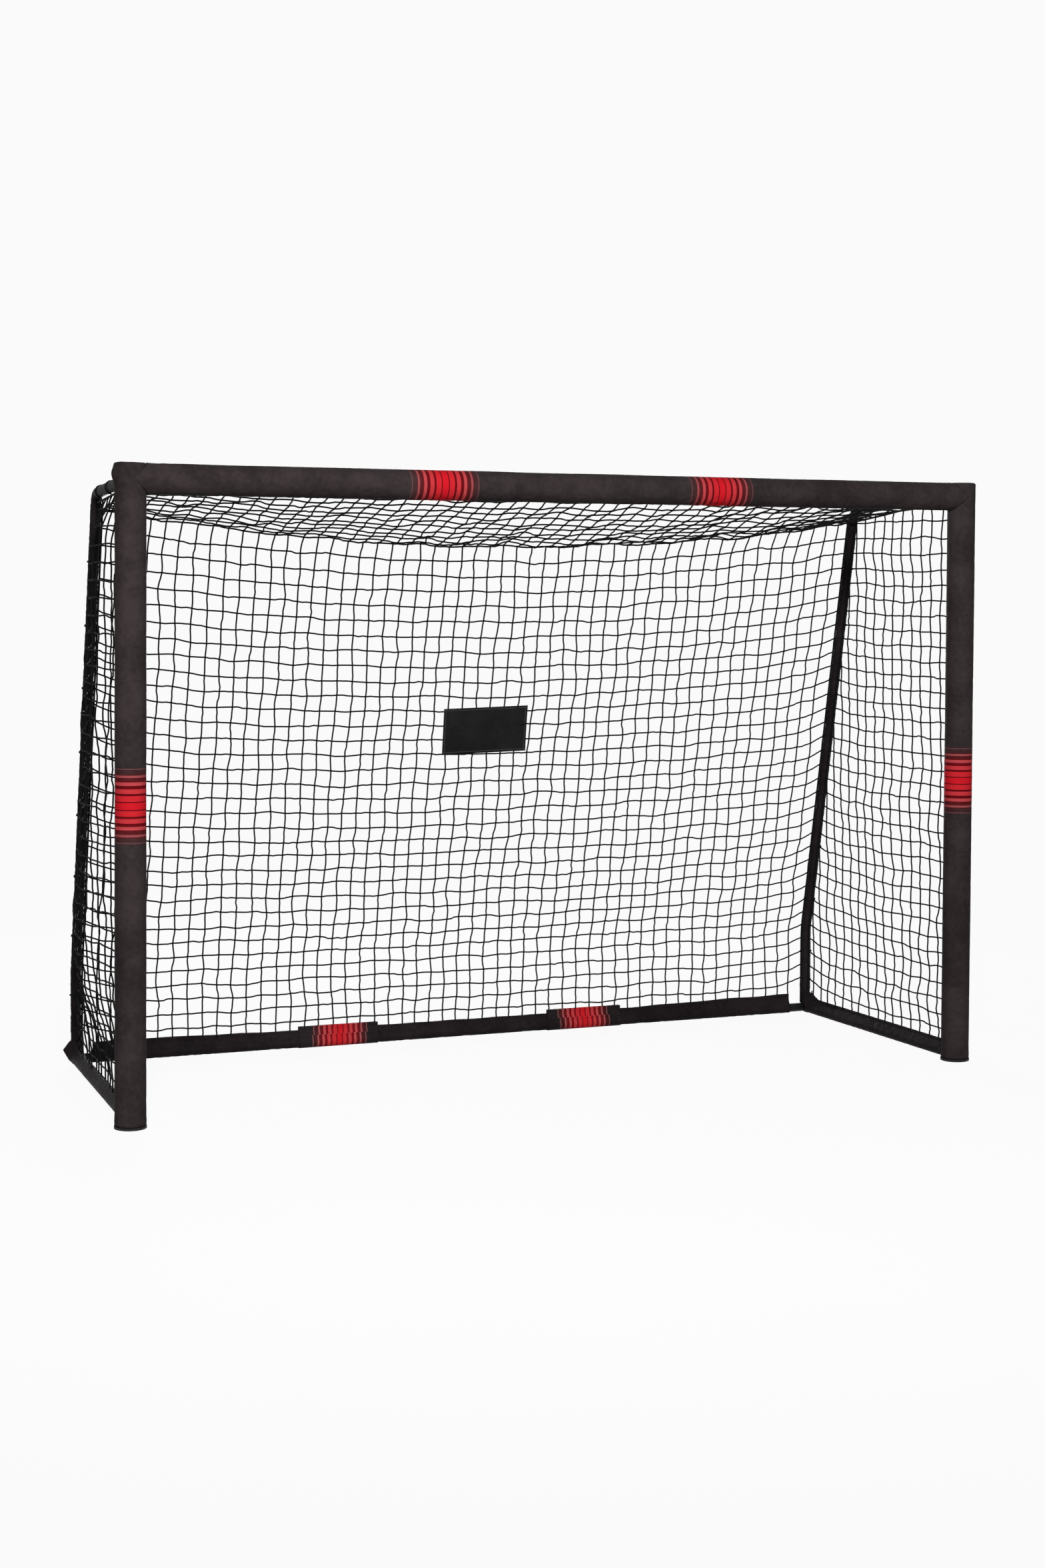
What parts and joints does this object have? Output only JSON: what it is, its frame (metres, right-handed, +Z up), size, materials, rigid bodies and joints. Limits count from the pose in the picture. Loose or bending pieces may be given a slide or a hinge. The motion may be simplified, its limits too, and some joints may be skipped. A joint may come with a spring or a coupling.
{
  "type": "garden football goal",
  "caption": "Free-standing football goal: padded posts and crossbar, tubular stays and ground rails, cloth covers and a hung square-mesh net.",
  "frame": {"origin": "on the floor under the middle of the overall box", "axes": "+X to the right across the mouth as seen from in front, +Y to the back of the goal, +Z up; the mouth faces -Y"},
  "size_m": [2.4, 0.85, 1.6],
  "materials": {
    "coated_steel": "black powder coat, satin",
    "moulded_cap": "moulded, fine grain",
    "foam": "closed-cell foam, matte",
    "pad_cover_cloth": "coated woven cloth with a soft sheen and printed red bands",
    "rail_cover_cloth": "coated woven cloth, creased",
    "printed_cloth": "coated woven cloth printed with a red band",
    "hook_tape": "woven tape",
    "net_cord": "knotted twine",
    "label_cloth": "plain woven patch with a stitched edge",
    "spring_steel": "bright spring steel"
  },
  "bodies": {
    "frame": {"left_post_lower_tube": "coated_steel", "left_post_upper_tube": "coated_steel", "right_post_lower_tube": "coated_steel", "right_post_upper_tube": "coated_steel", "crossbar_left_tube": "coated_steel", "crossbar_middle_tube": "coated_steel", "crossbar_right_tube": "coated_steel", "left_top_corner": "coated_steel", "right_top_corner": "coated_steel", "left_foot_elbow": "coated_steel", "right_foot_elbow": "coated_steel", "left_foot_cap": "moulded_cap", "right_foot_cap": "moulded_cap", "left_stay_upper_tube": "coated_steel", "right_stay_upper_tube": "coated_steel", "left_stay_lower_tube": "coated_steel", "right_stay_lower_tube": "coated_steel", "left_rear_corner": "coated_steel", "right_rear_corner": "coated_steel", "left_side_rail_tube": "coated_steel", "right_side_rail_tube": "coated_steel", "rear_rail_left_tube": "coated_steel", "rear_rail_middle_tube": "coated_steel", "rear_rail_right_tube": "coated_steel", "left_post_foam": "foam", "right_post_foam": "foam", "crossbar_foam": "foam", "left_post_cover": "pad_cover_cloth", "right_post_cover": "pad_cover_cloth", "crossbar_cover": "pad_cover_cloth", "left_stay_sleeve": "rail_cover_cloth", "right_stay_sleeve": "rail_cover_cloth", "left_side_rail_cover": "rail_cover_cloth", "right_side_rail_cover": "rail_cover_cloth", "rear_rail_cover": "rail_cover_cloth", "rear_left_wrap": "printed_cloth", "rear_right_wrap": "printed_cloth", "left_post_tape": "hook_tape", "right_post_tape": "hook_tape", "crossbar_tape": "hook_tape", "net_roof": "net_cord", "net_back": "net_cord", "net_left": "net_cord", "net_right": "net_cord", "net_label": "label_cloth", "left_post_spring": "spring_steel", "right_post_spring": "spring_steel", "crossbar_left_spring": "spring_steel", "crossbar_right_spring": "spring_steel", "rear_rail_left_spring": "spring_steel", "rear_rail_right_spring": "spring_steel"},
    "left_post_button": {"left_post_button": "spring_steel"},
    "right_post_button": {"right_post_button": "spring_steel"},
    "crossbar_left_button": {"crossbar_left_button": "spring_steel"},
    "crossbar_right_button": {"crossbar_right_button": "spring_steel"},
    "rear_rail_left_button": {"rear_rail_left_button": "spring_steel"},
    "rear_rail_right_button": {"rear_rail_right_button": "spring_steel"}
  },
  "joints": [
    {"name": "left_post_button_press", "type": "slide", "parent": "frame", "child": "left_post_button", "axis": [0, -1, 0], "range_m": [0, 0.004], "stiffness_N_per_m": 1200, "springref_m": -0.002, "deforming": ["left_post_spring"]},
    {"name": "right_post_button_press", "type": "slide", "parent": "frame", "child": "right_post_button", "axis": [0, -1, 0], "range_m": [0, 0.004], "stiffness_N_per_m": 1200, "springref_m": -0.002, "deforming": ["right_post_spring"]},
    {"name": "crossbar_left_button_press", "type": "slide", "parent": "frame", "child": "crossbar_left_button", "axis": [0, -1, 0], "range_m": [0, 0.004], "stiffness_N_per_m": 1200, "springref_m": -0.002, "deforming": ["crossbar_left_spring"]},
    {"name": "crossbar_right_button_press", "type": "slide", "parent": "frame", "child": "crossbar_right_button", "axis": [0, -1, 0], "range_m": [0, 0.004], "stiffness_N_per_m": 1200, "springref_m": -0.002, "deforming": ["crossbar_right_spring"]},
    {"name": "rear_rail_left_button_press", "type": "slide", "parent": "frame", "child": "rear_rail_left_button", "axis": [0, 0, -1], "range_m": [0, 0.004], "stiffness_N_per_m": 1200, "springref_m": -0.002, "deforming": ["rear_rail_left_spring"]},
    {"name": "rear_rail_right_button_press", "type": "slide", "parent": "frame", "child": "rear_rail_right_button", "axis": [0, 0, -1], "range_m": [0, 0.004], "stiffness_N_per_m": 1200, "springref_m": -0.002, "deforming": ["rear_rail_right_spring"]}
  ]
}
